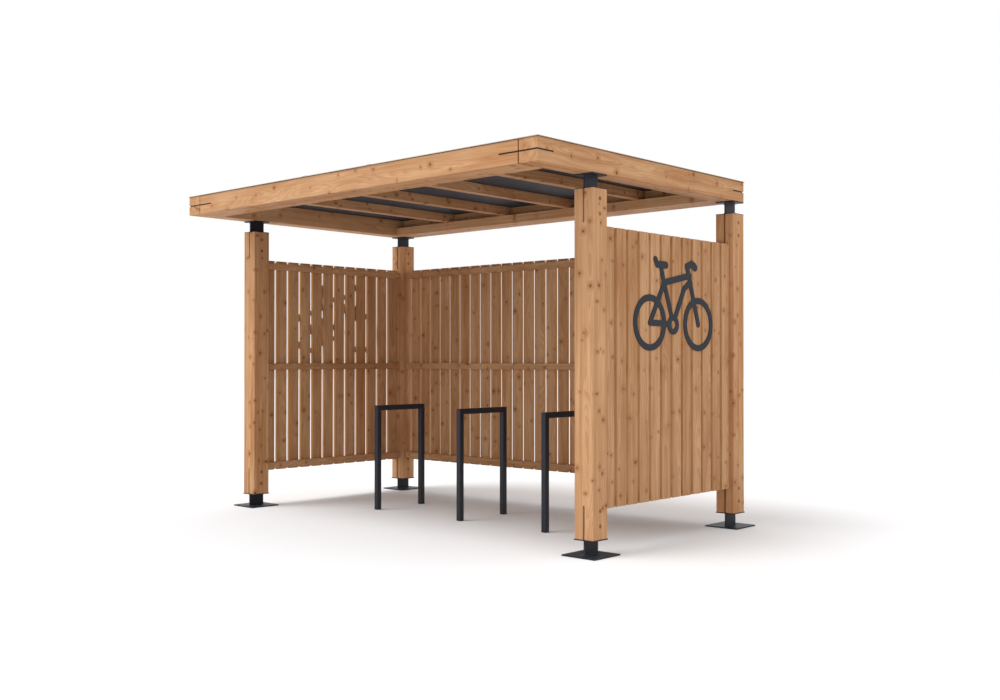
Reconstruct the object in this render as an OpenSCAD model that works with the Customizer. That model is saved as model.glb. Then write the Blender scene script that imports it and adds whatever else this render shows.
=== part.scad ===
// Open timber bicycle shelter: four posts on steel feet carry a flat roof frame
// that reaches out over the open front. Three slatted walls and three hoop stands.
// X runs along the open front, Y from the front to the back, Z is up. Millimetres.

/* [Frame] */
// Width over the outer faces of the posts
frame_w = 3520; // [2800:10:5200]
// Depth over the outer faces of the posts
frame_d = 1730; // [1400:10:2600]
// Reach of the roof in front of the posts
roof_reach = 500; // [150:10:900]
// Chamfer along the edges of posts, beams, ledgers, rafters and rails
timber_ease = 3; // [1:0.5:8]

/* [Posts] */
// Side of the square posts
post_side = 140; // [120:5:180]
// Length of the timber posts
post_len = 2083; // [1800:1:2600]

/* [Feet and heads] */
// Side of the square base plates
base_side = 250; // [200:5:400]
// Thickness of the base plates
base_t = 8; // [5:1:20]
// Height of the lower end of the posts above the ground
foot_h = 100; // [40:1:200]
// Height from the upper end of the posts to the beams
head_h = 90; // [40:1:200]
// Thickness of the seat plates at both ends of the posts
seat_t = 4; // [3:1:12]
// Thickness of the cap plates under the beams
cap_t = 8; // [4:1:16]
// Thickness of the upright steel fins
fin_t = 10; // [6:1:20]
// Depth of the fins' edges behind the faces of the posts
fin_inset = 6; // [0:1:30]
// Length of the blade let into each end of a post
blade_len = 200; // [80:5:260]
// Depth of the blades' edges behind the faces of the posts
blade_inset = 20; // [2:1:40]
// Diameter of the anchor holes in the base plates
anchor_d = 14; // [8:1:22]
// Distance from the edges of a base plate to its anchor holes
anchor_inset = 28; // [20:1:40]

/* [Roof frame] */
// Width of the roof beams
beam_w = 140; // [120:5:180]
// Depth of the roof beams
beam_h = 140; // [100:5:220]
// Width of the ledgers that carry the rafters
ledger_w = 80; // [40:5:120]
// Depth of the ledgers
ledger_h = 70; // [40:5:90]
// Width of the rafters
rafter_w = 60; // [40:5:100]
// Number of rafters
rafter_count = 4; // [4:1:4]
// Thickness of the roof sheet
sheet_t = 5; // [3:1:30]
// Reach of the roof sheet past the beams
sheet_edge = 5; // [1:1:40]
// Open joint between the ends of the front and back beams and the side beams
joint_gap = 7; // [0:1:10]

/* [Corner plates] */
// Length of the corner plates along the front and the back
plate_len = 292; // [200:1:400]
// Thickness of the corner plates
plate_t = 7; // [3:1:16]
// Depth of the corner plates' edges behind the outer faces of the beams
plate_inset = 6; // [0:1:20]

/* [Walls] */
// Width of the wall boards
board_w = 97; // [70:1:105]
// Thickness of the wall boards
board_t = 25; // [12:1:32]
// Height of the lower ends of the boards above the ground
board_z = 272; // [120:1:320]
// Distance from the upper ends of the posts down to the upper ends of the boards
board_drop = 213; // [60:1:600]
// Chamfer along the edges of the boards
board_ease = 1; // [0.5:0.5:4]
// Depth of the boards' outer faces behind the outer faces of the posts
wall_inset = 33; // [5:1:40]
// Number of boards in the left and right walls
side_boards = 12; // [6:1:12]
// Number of boards in the back wall
back_boards = 26; // [14:1:26]
// Room between the front posts and the first boards of the side walls
side_front_gap = 18; // [1:1:40]
// Room between the last boards of the side walls and the back posts
side_back_gap = 1; // [1:1:40]
// Room between the left back post and the back wall's boards
back_left_gap = 36; // [1:1:80]
// Room between the back wall's boards and the right back post
back_right_gap = 70; // [1:1:80]
// Thickness of the rails, measured across the wall
rail_t = 45; // [30:1:60]
// Height of the rails
rail_h = 52; // [30:1:90]
// Length of board that shows above the top rails
top_reveal = 21; // [0:1:60]
// Length of board that shows below the bottom rails
bottom_reveal = 14; // [0:1:60]
// Distance of the middle rails below the middle of the other two
middle_drop = 7; // [0:1:60]

/* [Stands] */
// Height of the hoop stands
stand_h = 815; // [600:5:1100]
// Length of the hoop stands, from front to back
stand_len = 500; // [300:5:800]
// Side of the square stand tube
stand_tube = 35; // [25:1:50]
// Wall of the stand tube
stand_wall = 3; // [2:0.5:6]
// Distance from the front of the posts to the stands
stand_front = 550; // [200:10:700]
// Places of the stands, as shares of the width over the posts
stand_shares = [0.276, 0.531, 0.760];

/* [Hidden] */

// Room on each side of steel that is let into timber
slot_gap = 1;
// Distance that cuts run past the faces they open
overrun = 5;

// Sides of the plan: left and right, front and back
LEFT = 0;
RIGHT = 1;
FRONT = 0;
BACK = 1;
// Levels of the rails
BOTTOM = 0;
MIDDLE = 1;
TOP = 2;

timber = "burlywood";
board_timber = "peru";
steel = "darkslategray";
roof_grey = "dimgray";

// Heights of the main levels
post_top = foot_h + post_len;
beam_z = post_top + head_h;
sheet_z = beam_z + beam_h;
board_top = post_top - board_drop;

// Plan of the roof and the clear spans between posts and between beams
roof_d = roof_reach + frame_d;
side_span = frame_d - 2 * post_side;
back_span = frame_w - 2 * post_side;
beam_span = frame_w - 2 * beam_w;
rafter_len = roof_d - 2 * beam_w;
rafter_h = beam_h - ledger_h;
rafter_pitch = (beam_span + rafter_w) / (rafter_count + 1);

// Widths of the steel between and inside the posts
fin_w = post_side - 2 * fin_inset;
blade_w = post_side - 2 * blade_inset;

// Middle of the whole plan, measured from the front faces of the posts
base_reach = (base_side - post_side) / 2;
front_edge = -max(roof_reach + sheet_edge, base_reach);
back_edge = frame_d + max(sheet_edge, base_reach);
mid_y = (front_edge + back_edge) / 2;

// Moves the plan's middle, on the ground, to the origin
module from_middle() {
    translate([-frame_w / 2, -mid_y, 0])
        children();
}

// Stands children at the centre of one post
module at_post(side, row) {
    x = side == LEFT ? post_side / 2 : frame_w - post_side / 2;
    y = row == FRONT ? post_side / 2 : frame_d - post_side / 2;
    from_middle()
        translate([x, y, 0])
            children();
}

// Puts a wall's own frame in place: X along the wall from post to post,
// Y inwards from the outer faces of the posts
module on_left_wall() {
    from_middle()
        mirror([1, -1, 0])
            translate([post_side, 0, 0])
                children();
}

module on_right_wall() {
    from_middle()
        translate([frame_w, post_side, 0])
            rotate([0, 0, 90])
                children();
}

module on_back_wall() {
    from_middle()
        translate([frame_w - post_side, frame_d, 0])
            rotate([0, 0, 180])
                children();
}

// Rectangle with chamfered corners, from the origin
module eased_rect(size, ease) {
    polygon([
        [ease, 0], [size.x - ease, 0],
        [size.x, ease], [size.x, size.y - ease],
        [size.x - ease, size.y], [ease, size.y],
        [0, size.y - ease], [0, ease]
    ]);
}

// Eased timbers that run along Z, X and Y, from the origin
module timber_z(size, ease) {
    linear_extrude(size.z)
        eased_rect([size.x, size.y], ease);
}

module timber_x(size, ease) {
    rotate([90, 0, 90])
        linear_extrude(size.x)
            eased_rect([size.y, size.z], ease);
}

module timber_y(size, ease) {
    translate([0, size.y, 0])
        rotate([90, 0, 0])
            linear_extrude(size.y)
                eased_rect([size.x, size.z], ease);
}

// Plate centred on the Z axis, with its lower face at the origin
module plate(width, depth, thickness) {
    translate([-width / 2, -depth / 2, 0])
        cube([width, depth, thickness]);
}

// Post with a slot for the steel blade in both ends
module post(side, row) {
    slot_w = fin_t + 2 * slot_gap;
    slot_len = blade_len + slot_gap;
    color(timber)
        at_post(side, row)
            translate([0, 0, foot_h])
                difference() {
                    translate([-post_side / 2, -post_side / 2, 0])
                        timber_z([post_side, post_side, post_len], timber_ease);
                    translate([0, 0, -overrun])
                        plate(slot_w, post_side + 2 * overrun, slot_len + overrun);
                    translate([0, 0, post_len - slot_len])
                        plate(slot_w, post_side + 2 * overrun, slot_len + overrun);
                }
}

// Foot: base plate with anchor holes, upright fin, seat plate and blade
module foot(side, row) {
    hole_reach = base_side / 2 - anchor_inset;
    color(steel)
        at_post(side, row) {
            difference() {
                plate(base_side, base_side, base_t);
                for (x = [-hole_reach, hole_reach], y = [-hole_reach, hole_reach])
                    translate([x, y, -overrun])
                        cylinder(d = anchor_d, h = base_t + 2 * overrun, $fn = 48);
            }
            translate([0, 0, foot_h - seat_t])
                plate(post_side, post_side, seat_t);
            plate(fin_t, fin_w, foot_h);
            translate([0, 0, foot_h])
                plate(fin_t, blade_w, blade_len);
        }
}

// Head: seat plate, upright fin, cap plate under the beam, and blade
module head(side, row) {
    color(steel)
        at_post(side, row)
            translate([0, 0, post_top]) {
                plate(post_side, post_side, seat_t);
                translate([0, 0, head_h - cap_t])
                    plate(post_side, post_side, cap_t);
                plate(fin_t, fin_w, head_h);
                translate([0, 0, -blade_len])
                    plate(fin_t, blade_w, blade_len);
            }
}

// Room for a corner plate, measured on its own corner: X along the front or back, Y along the side.
// It starts at the given depth behind the outer faces and grows past the plate elsewhere
module corner_space(start, grow) {
    translate([start, start, beam_h / 2 - plate_t / 2 - grow])
        cube([plate_len - start + grow, beam_w - start + grow, plate_t + 2 * grow]);
}

// Puts a corner of the roof in place, mirrored so that it always runs inwards
module at_roof_corner(side, row) {
    from_middle()
        translate([side == LEFT ? 0 : frame_w, row == FRONT ? -roof_reach : frame_d, beam_z])
            mirror([side, 0, 0])
                mirror([0, row, 0])
                    children();
}

module corner_plate(side, row) {
    color(steel)
        at_roof_corner(side, row)
            corner_space(plate_inset, 0);
}

// Side beam, which runs through from front to back, slotted for the corner plates
module side_beam(side) {
    x = side == LEFT ? 0 : frame_w - beam_w;
    color(timber)
        difference() {
            from_middle()
                translate([x, -roof_reach, beam_z])
                    timber_y([beam_w, roof_d, beam_h], timber_ease);
            for (row = [FRONT, BACK])
                at_roof_corner(side, row)
                    corner_space(-overrun, slot_gap);
        }
}

// Front or back beam, between the side beams with an open joint, slotted for the corner plates
module cross_beam(row) {
    y = row == FRONT ? -roof_reach : frame_d - beam_w;
    color(timber)
        difference() {
            from_middle()
                translate([beam_w + joint_gap, y, beam_z])
                    timber_x([beam_span - 2 * joint_gap, beam_w, beam_h], timber_ease);
            for (side = [LEFT, RIGHT])
                at_roof_corner(side, row)
                    corner_space(-overrun, slot_gap);
        }
}

// Ledger along the inner face of the front or back beam
module ledger(row) {
    y = row == FRONT ? -roof_reach + beam_w : frame_d - beam_w - ledger_w;
    color(timber)
        from_middle()
            translate([beam_w, y, beam_z])
                timber_x([beam_span, ledger_w, ledger_h], timber_ease);
}

// Rafter on the ledgers, between the front and back beams
module rafter(index) {
    x = beam_w + index * rafter_pitch - rafter_w;
    color(timber)
        from_middle()
            translate([x, -roof_reach + beam_w, beam_z + ledger_h])
                timber_y([rafter_w, rafter_len, rafter_h], timber_ease);
}

module roof_sheet() {
    color(roof_grey)
        from_middle()
            translate([-sheet_edge, -roof_reach - sheet_edge, sheet_z])
                cube([frame_w + 2 * sheet_edge, roof_d + 2 * sheet_edge, sheet_t]);
}

// Row of upright boards over a span, in a wall's own frame
module wall_boards(span, count, first_gap, last_gap) {
    pitch = (span - first_gap - last_gap - board_w) / (count - 1);
    color(board_timber)
        for (i = [0 : count - 1])
            translate([first_gap + i * pitch, wall_inset, board_z])
                timber_z([board_w, board_t, board_top - board_z], board_ease);
}

module side_wall_boards() {
    wall_boards(side_span, side_boards, side_front_gap, side_back_gap);
}

module back_wall_boards() {
    wall_boards(back_span, back_boards, back_right_gap, back_left_gap);
}

// Rail behind the boards, from post to post, in a wall's own frame
module wall_rail(span, level) {
    lowest = board_z + bottom_reveal;
    highest = board_top - top_reveal - rail_h;
    z = level == BOTTOM ? lowest : level == TOP ? highest : (lowest + highest) / 2 - middle_drop;
    color(timber)
        translate([0, wall_inset + board_t, z])
            timber_x([span, rail_t, rail_h], timber_ease);
}

// Upright outline of a hoop, drawn in by inset and open at its feet
module hoop_outline(inset, below) {
    leg = stand_tube - 2 * inset;
    long = stand_len - 2 * inset;
    tall = stand_h - inset + below;
    translate([inset, -below])
        difference() {
            square([long, tall]);
            translate([leg, -overrun])
                square([long - 2 * leg, tall - leg + overrun]);
        }
}

// Hoop stand of square tube, with its legs straight down to the ground
module stand(index) {
    color(steel)
        from_middle()
            translate([frame_w * stand_shares[index], stand_front, 0])
                rotate([90, 0, 90])
                    difference() {
                        translate([0, 0, -stand_tube / 2])
                            linear_extrude(stand_tube)
                                hoop_outline(0, 0);
                        translate([0, 0, stand_wall - stand_tube / 2])
                            linear_extrude(stand_tube - 2 * stand_wall)
                                hoop_outline(stand_wall, overrun);
                    }
}

post(LEFT, FRONT);  // post_front_left
post(RIGHT, FRONT);  // post_front_right
post(LEFT, BACK);  // post_back_left
post(RIGHT, BACK);  // post_back_right
foot(LEFT, FRONT);  // foot_front_left
foot(RIGHT, FRONT);  // foot_front_right
foot(LEFT, BACK);  // foot_back_left
foot(RIGHT, BACK);  // foot_back_right
head(LEFT, FRONT);  // head_front_left
head(RIGHT, FRONT);  // head_front_right
head(LEFT, BACK);  // head_back_left
head(RIGHT, BACK);  // head_back_right
side_beam(LEFT);  // beam_left
side_beam(RIGHT);  // beam_right
cross_beam(FRONT);  // beam_front
cross_beam(BACK);  // beam_back
ledger(FRONT);  // ledger_front
ledger(BACK);  // ledger_back
corner_plate(LEFT, FRONT);  // corner_plate_front_left
corner_plate(RIGHT, FRONT);  // corner_plate_front_right
corner_plate(LEFT, BACK);  // corner_plate_back_left
corner_plate(RIGHT, BACK);  // corner_plate_back_right
rafter(1);  // rafter_1
rafter(2);  // rafter_2
rafter(3);  // rafter_3
rafter(4);  // rafter_4
roof_sheet();
on_left_wall() side_wall_boards();  // left_wall_boards
on_right_wall() side_wall_boards();  // right_wall_boards
on_back_wall() back_wall_boards();
on_left_wall() wall_rail(side_span, BOTTOM);  // left_rail_bottom
on_left_wall() wall_rail(side_span, MIDDLE);  // left_rail_middle
on_left_wall() wall_rail(side_span, TOP);  // left_rail_top
on_right_wall() wall_rail(side_span, BOTTOM);  // right_rail_bottom
on_right_wall() wall_rail(side_span, MIDDLE);  // right_rail_middle
on_right_wall() wall_rail(side_span, TOP);  // right_rail_top
on_back_wall() wall_rail(back_span, BOTTOM);  // back_rail_bottom
on_back_wall() wall_rail(back_span, MIDDLE);  // back_rail_middle
on_back_wall() wall_rail(back_span, TOP);  // back_rail_top
stand(0);  // stand_1
stand(1);  // stand_2
stand(2);  // stand_3
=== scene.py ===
"""Looks of an open timber cycle shelter: grown wood, coated steel, roof sheet, signs and fixings.

The packed model gives every place and size. Timber and steel are copies of the packed solids with
rounded edges, and each timber has a grain of its own. The seat plates of the feet are drawn out past
the posts, and the stands are made anew on the packed ones' middle lines. Roof cover strips, signs,
dowel plugs, screws and weld beads are made here.
"""

import math
import random

import bmesh
import bpy
from mathutils import Matrix, Vector


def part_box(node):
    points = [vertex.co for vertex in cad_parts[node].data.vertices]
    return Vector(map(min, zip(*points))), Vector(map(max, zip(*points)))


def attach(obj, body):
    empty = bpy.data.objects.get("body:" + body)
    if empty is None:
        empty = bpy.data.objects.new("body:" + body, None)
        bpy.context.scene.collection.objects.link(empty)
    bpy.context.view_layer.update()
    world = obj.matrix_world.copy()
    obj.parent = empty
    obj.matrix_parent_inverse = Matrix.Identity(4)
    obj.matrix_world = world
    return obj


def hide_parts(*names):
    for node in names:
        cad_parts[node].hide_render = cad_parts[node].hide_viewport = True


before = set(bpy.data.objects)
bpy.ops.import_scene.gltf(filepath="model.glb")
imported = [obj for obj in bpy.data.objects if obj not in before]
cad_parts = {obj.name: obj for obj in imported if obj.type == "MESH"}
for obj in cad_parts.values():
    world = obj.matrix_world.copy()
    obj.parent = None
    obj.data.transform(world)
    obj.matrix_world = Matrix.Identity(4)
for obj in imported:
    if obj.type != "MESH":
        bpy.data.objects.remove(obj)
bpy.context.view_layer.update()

bl_info = {
    "name": "Timber cycle shelter",
    "version": (1, 0, 0),
    "blender": (4, 5, 0),
    "location": "View3D > Sidebar > Shelter",
    "description": "Dresses a timber cycle shelter with wood, steel, roof sheet, signs and fixings",
    "category": "Object",
}

CORNERS = ("front_left", "front_right", "back_left", "back_right")
WALLS = ("left", "right", "back")
RAIL_LEVELS = ("bottom", "middle", "top")
BEAMS = ("beam_left", "beam_right", "beam_front", "beam_back")
BUTTED_BEAMS = ("beam_front", "beam_back")
LEDGERS = ("ledger_front", "ledger_back")
RAFTERS = ("rafter_1", "rafter_2", "rafter_3", "rafter_4")
STANDS = ("stand_1", "stand_2", "stand_3")
JOINT_RAFTERS = ("rafter_2", "rafter_3")

# Seeds of the random draws
SEEDS = {"posts": 1987, "beams": 287, "rafters": 37, "boards": 41, "rails": 53, "beads": 71}

# Within these a point or a face of a packed solid counts as the same
MERGE_DISTANCE = 1e-5
SAME_PLACE = 1e-4
FLAT_ANGLE = math.radians(0.5)

# How much of its normal a face has along the way that it counts as facing
END_FACING = 0.8
SIDE_FACING = 0.5

# Edges that stay sharp, how dark end grain is in the open, and how dark the end faces in a closed joint
# are, with painted shade on top of the end grain
SHARP_ANGLE = math.radians(50)
OPEN_END = 0.03
CLOSED_JOINT_PAINTED_SHADE = 0.9

# Timber below this width is cut beside the heart of its log
SLIM_TIMBER = 0.1

# Bump and gloss of the wood
WOOD_BUMP = 0.35
WOOD_BUMP_DEPTH = 0.0012
WOOD_GLOSS = 0.06

# Mottling, dust, scuffs, roughness, bump and gloss of each coat
COATS = {
    "Powder coat": (0.10, 0.01, 0.03, 0.48, 0.2, 0.27),
    "Roof laminate": (0.09, 0.16, 0.0, 0.62, 0.2, 0.18),
    "Cover strip coat": (0.10, 0.10, 0.05, 0.50, 0.2, 0.27),
    "Stand coat": (0.10, 0.04, 0.07, 0.44, 0.2, 0.35),
    "Dowel end grain": (0.30, 0.0, 0.0, 0.75, 0.6, 0.35),
    "Screw coat": (0.12, 0.05, 0.2, 0.4, 0.2, 0.35),
    "Sign coat": (0.08, 0.0, 0.02, 0.56, 0.2, 0.18),
}
COAT_BUMP_DEPTH = 0.0004

# Profiles of the turned fixings, from foot to top: share of the radius, and height
PLUG_PROFILE = ((1.0, -0.002), (1.0, 0.0002), (0.88, 0.0010), (0.55, 0.0013))
SCREW_PROFILE = ((1.0, -0.001), (1.0, 0.0003), (0.86, 0.0008), (0.40, 0.0009), (0.34, -0.0008))
ROOF_SCREW_PROFILE = ((1.0, -0.0005), (1.0, 0.0012), (0.72, 0.0016), (0.66, 0.0040), (0.45, 0.0050))

# Fixings and trim
COVER_TRIM = 0.006
SCREW_STAGGER = 0.009
ROOF_SCREW_TRIM = 0.07
BUTTED_BEAM_TRIM = 0.20
BEAD_STEP = 0.0026
BEAD_SIDES = 6
BEAD_LEAST = 0.92
BEAD_RIPPLE = 0.16
BEAD_UNEVEN = 0.05
SIGN_EDGE = 0.0007
CRANK_RADIUS = 0.064
CRANK_RIM = 0.037

# Stage
FLOOR_RADIUS = 60.0
FLOOR_DROP = 0.0012
KEY_SPREAD = math.radians(32)
KEY_TRAVEL = Vector((0.63, 1.12, -2.41))
CAMERA_PLACE = (5.765, -5.828, 1.167)
CAMERA_TURN = (math.radians(90.494), 0.0, math.radians(42.4455))


def paint(red, green, blue):
    """Linear colour of a display colour that is given in steps of 255."""
    return tuple(
        step / 12.92 if step <= 0.04045 else ((step + 0.055) / 1.055) ** 2.4
        for step in (red / 255, green / 255, blue / 255)
    )


DUST = (*paint(176, 170, 160), 1.0)
RUBBED = (*paint(128, 127, 130), 1.0)


def colour_prop(name, description, display):
    """Colour property with a default given as a display colour."""
    return bpy.props.FloatVectorProperty(
        name=name,
        description=description,
        subtype="COLOR",
        size=3,
        min=0.0,
        max=1.0,
        default=paint(*display),
    )


def number_prop(name, description, default, **more):
    """Number property that doesn't go below zero."""
    settings = {"min": 0.0, **more}
    return bpy.props.FloatProperty(name=name, description=description, default=default, **settings)


def length_prop(name, description, default):
    """Length property in metres."""
    return number_prop(name, description, default, unit="LENGTH", precision=4)


def share_prop(name, description, default):
    """Property from none to all."""
    return number_prop(name, description, default, subtype="FACTOR", max=1.0)


class ShelterTimber(bpy.types.PropertyGroup):
    """Colours and growth of the softwood."""

    sapwood: colour_prop("Sapwood", "Pale wood between the streaks", (217, 172, 131))
    heartwood: colour_prop("Heartwood", "Darker, redder wood in the streaks", (188, 136, 95))
    latewood: colour_prop("Latewood", "Dark part of each year ring", (157, 104, 65))
    knot: colour_prop("Knot", "Middle of a knot", (126, 75, 37))
    # Narrow sides of the boards: a paler sawn face, lifted further as painted light in the gaps between
    # boards
    sawn_edge_painted_light: colour_prop("Sawn edge, painted light", "Narrow sides of the boards", (242, 184, 98))
    ring_width: length_prop("Ring width", "Distance between year rings", 0.0042)
    edge_round: length_prop("Edge rounding", "Rounding on the eased edges", 0.0012)
    board_shade: share_prop("Board shade", "How much darker the wall boards are", 0.1)
    knot_share: share_prop("Knots", "Share of places for a knot that hold one in the frame", 0.85)
    board_knots: share_prop("Board knots", "Share of places for a knot that hold one in the walls", 0.6)


class ShelterSteel(bpy.types.PropertyGroup):
    """Finish of steel, signs and roof sheet, and sizes of plates, strips and stands."""

    coat: colour_prop("Coat", "Powder coat of feet, heads, plates and stands", (31, 34, 44))
    sheet: colour_prop("Roof sheet", "Laminate of the roof", (64, 67, 76))
    # Cut edge of the sheet: its own paler colour, lifted with a painted highlight
    sheet_edge_painted_highlight: colour_prop("Sheet edge, painted highlight", "Cut edge of the roof sheet", (188, 168, 148))
    sign: colour_prop("Sign", "Coat of the signs", (42, 47, 55))
    # Bare back of the signs, lightened as painted light where it shows in the shade between boards
    sign_back_painted_light: colour_prop("Sign back, painted light", "Uncoated back of the signs", (206, 168, 142))
    edge_round: length_prop("Edge rounding", "Rounding on steel edges", 0.0008)
    bead: length_prop("Weld bead", "Height of the weld beads", 0.0035)
    seat_rim: length_prop("Seat rim", "Reach of the feet's seat plates past the posts", 0.003)
    seat_extra: length_prop("Seat extra", "Added thickness of the feet's seat plates", 0.002)
    cover_width: length_prop("Cover strip", "Width of the strips over the roof joints", 0.064)
    cover_height: length_prop("Cover height", "Height of the strips over the roof joints", 0.003)
    stand_tube: length_prop("Stand tube", "Side of the square tube of the stands", 0.040)
    stand_wall: length_prop("Stand wall", "Wall of the stand tube", 0.003)
    stand_height: length_prop("Stand height", "Height of the stands", 0.810)


class ShelterFixings(bpy.types.PropertyGroup):
    """Dowel plugs and screws."""

    plug_width: length_prop("Plug width", "Diameter of the dowel plugs", 0.026)
    plug_top_near: length_prop("Upper plug", "Upper plug below the post top", 0.060)
    plug_top_far: length_prop("Lower plug", "Lower plug below the post top", 0.150)
    plug_foot_near: length_prop("Foot plug", "Lower plug above the post foot", 0.080)
    plug_foot_far: length_prop("Far foot plug", "Upper plug above the post foot", 0.170)
    plug: colour_prop("Plug", "End grain of the dowel plugs", (140, 93, 58))
    screw_width: length_prop("Screw head", "Diameter of the rail screws", 0.007)
    roof_screw_width: length_prop("Roof screw head", "Diameter of the roof screws", 0.016)
    roof_screw_step: length_prop("Roof screw step", "Distance between roof screws", 0.36)
    zinc: colour_prop("Screw", "Coated screw heads", (98, 84, 70))


class ShelterSigns(bpy.types.PropertyGroup):
    """Cut steel cycle signs on the end walls."""

    plate: length_prop("Plate", "Thickness of the sign plate", 0.005)
    wheel: length_prop("Wheel", "Outer diameter of a wheel", 0.357)
    rim: length_prop("Rim", "Width of a wheel rim", 0.041)
    bar: length_prop("Bar", "Width of the frame bars", 0.040)
    axle_height: length_prop("Axle height", "Height of the axles", 1.401)
    rear_axle: length_prop("Rear axle", "Rear axle from the front post middle", 0.558)
    wheelbase: length_prop("Wheelbase", "Distance between the axles", 0.560)


class ShelterStage(bpy.types.PropertyGroup):
    """Floor, light and camera."""

    floor: colour_prop("Floor", "Pale studio floor", (233, 233, 234))
    bounce: colour_prop("Floor bounce", "Floor as it lights the shelter from below", (208, 206, 202))
    dome: number_prop("Dome", "Strength of the soft light all round", 0.95)
    key: number_prop("Key", "Strength of the soft light from the front", 1.75)
    lens: number_prop("Lens", "Focal length", 40.0, subtype="DISTANCE_CAMERA", min=1.0)


class Graph:
    """Adds nodes to one tree and joins them."""

    def __init__(self, tree):
        self.tree = tree
        self.count = 0

    def add(self, kind, **settings):
        node = self.tree.nodes.new(kind)
        for key, value in settings.items():
            setattr(node, key, value)
        node.location = (self.count % 10 * 190, -(self.count // 10) * 280)
        self.count += 1
        return node

    def feed(self, socket, value):
        if isinstance(value, bpy.types.NodeSocket):
            self.tree.links.new(value, socket)
        else:
            socket.default_value = value

    def fill(self, node, values):
        """Feeds the inputs of a node by their labels."""
        for label, value in values.items():
            self.feed(node.inputs[label], value)

    def math(self, operation, *values):
        node = self.add("ShaderNodeMath", operation=operation)
        for socket, value in zip(node.inputs, values):
            self.feed(socket, value)
        return node.outputs[0]

    def plus(self, first, second):
        return self.math("ADD", first, second)

    def times(self, first, second):
        return self.math("MULTIPLY", first, second)

    def span(self, first, second):
        """Length over two distances at right angles."""
        return self.math("SQRT", self.plus(self.times(first, first), self.times(second, second)))

    def seen(self):
        """Mask of the rays that show a background: straight, mirrored or through glass."""
        path = self.add("ShaderNodeLightPath")
        mask = self.math("MAXIMUM", path.outputs["Is Camera Ray"], path.outputs["Is Glossy Ray"])
        return self.math("MAXIMUM", mask, path.outputs["Is Transmission Ray"])

    def split(self, vector):
        node = self.add("ShaderNodeSeparateXYZ")
        self.feed(node.inputs[0], vector)
        return node.outputs[:]

    def joined(self, x, y, z):
        node = self.add("ShaderNodeCombineXYZ")
        for socket, value in zip(node.inputs, (x, y, z)):
            self.feed(socket, value)
        return node.outputs[0]

    def noise(self, vector, stretch, detail=2.0, rough=0.5):
        place = self.add("ShaderNodeVectorMath", operation="MULTIPLY")
        self.feed(place.inputs[0], vector)
        self.feed(place.inputs[1], stretch)
        node = self.add("ShaderNodeTexNoise")
        self.fill(node, {"Vector": place.outputs[0], "Scale": 1.0, "Detail": detail, "Roughness": rough})
        return node.outputs["Fac"], node.outputs["Color"]

    def line(self, value, low, high, start=0.0, end=1.0, course="LINEAR"):
        node = self.add("ShaderNodeMapRange", interpolation_type=course)
        for socket, given in zip(node.inputs, (value, low, high, start, end)):
            self.feed(socket, given)
        return node.outputs[0]

    def ramp(self, value, low, high):
        return self.line(value, low, high, course="SMOOTHSTEP")

    def mix(self, share, first, second, blend="MIX"):
        node = self.add("ShaderNodeMix", data_type="RGBA", blend_type=blend)
        self.feed(node.inputs[0], share)
        self.feed(node.inputs[6], first)
        self.feed(node.inputs[7], second)
        return node.outputs[2]


def new_group(name, vectors, numbers, colours):
    """Graph, inputs and outputs of a group that puts out a colour, a roughness and a height."""
    tree = bpy.data.node_groups.new(name, "ShaderNodeTree")
    for kind, labels in (("Vector", vectors), ("Float", numbers), ("Color", colours)):
        for label in labels:
            tree.interface.new_socket(label, in_out="INPUT", socket_type=f"NodeSocket{kind}")
    for kind, label in (("Color", "Color"), ("Float", "Roughness"), ("Float", "Height")):
        tree.interface.new_socket(label, in_out="OUTPUT", socket_type=f"NodeSocket{kind}")
    graph = Graph(tree)
    source = graph.add("NodeGroupInput")
    target = graph.add("NodeGroupOutput")
    return graph, source.outputs, target.inputs


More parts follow.
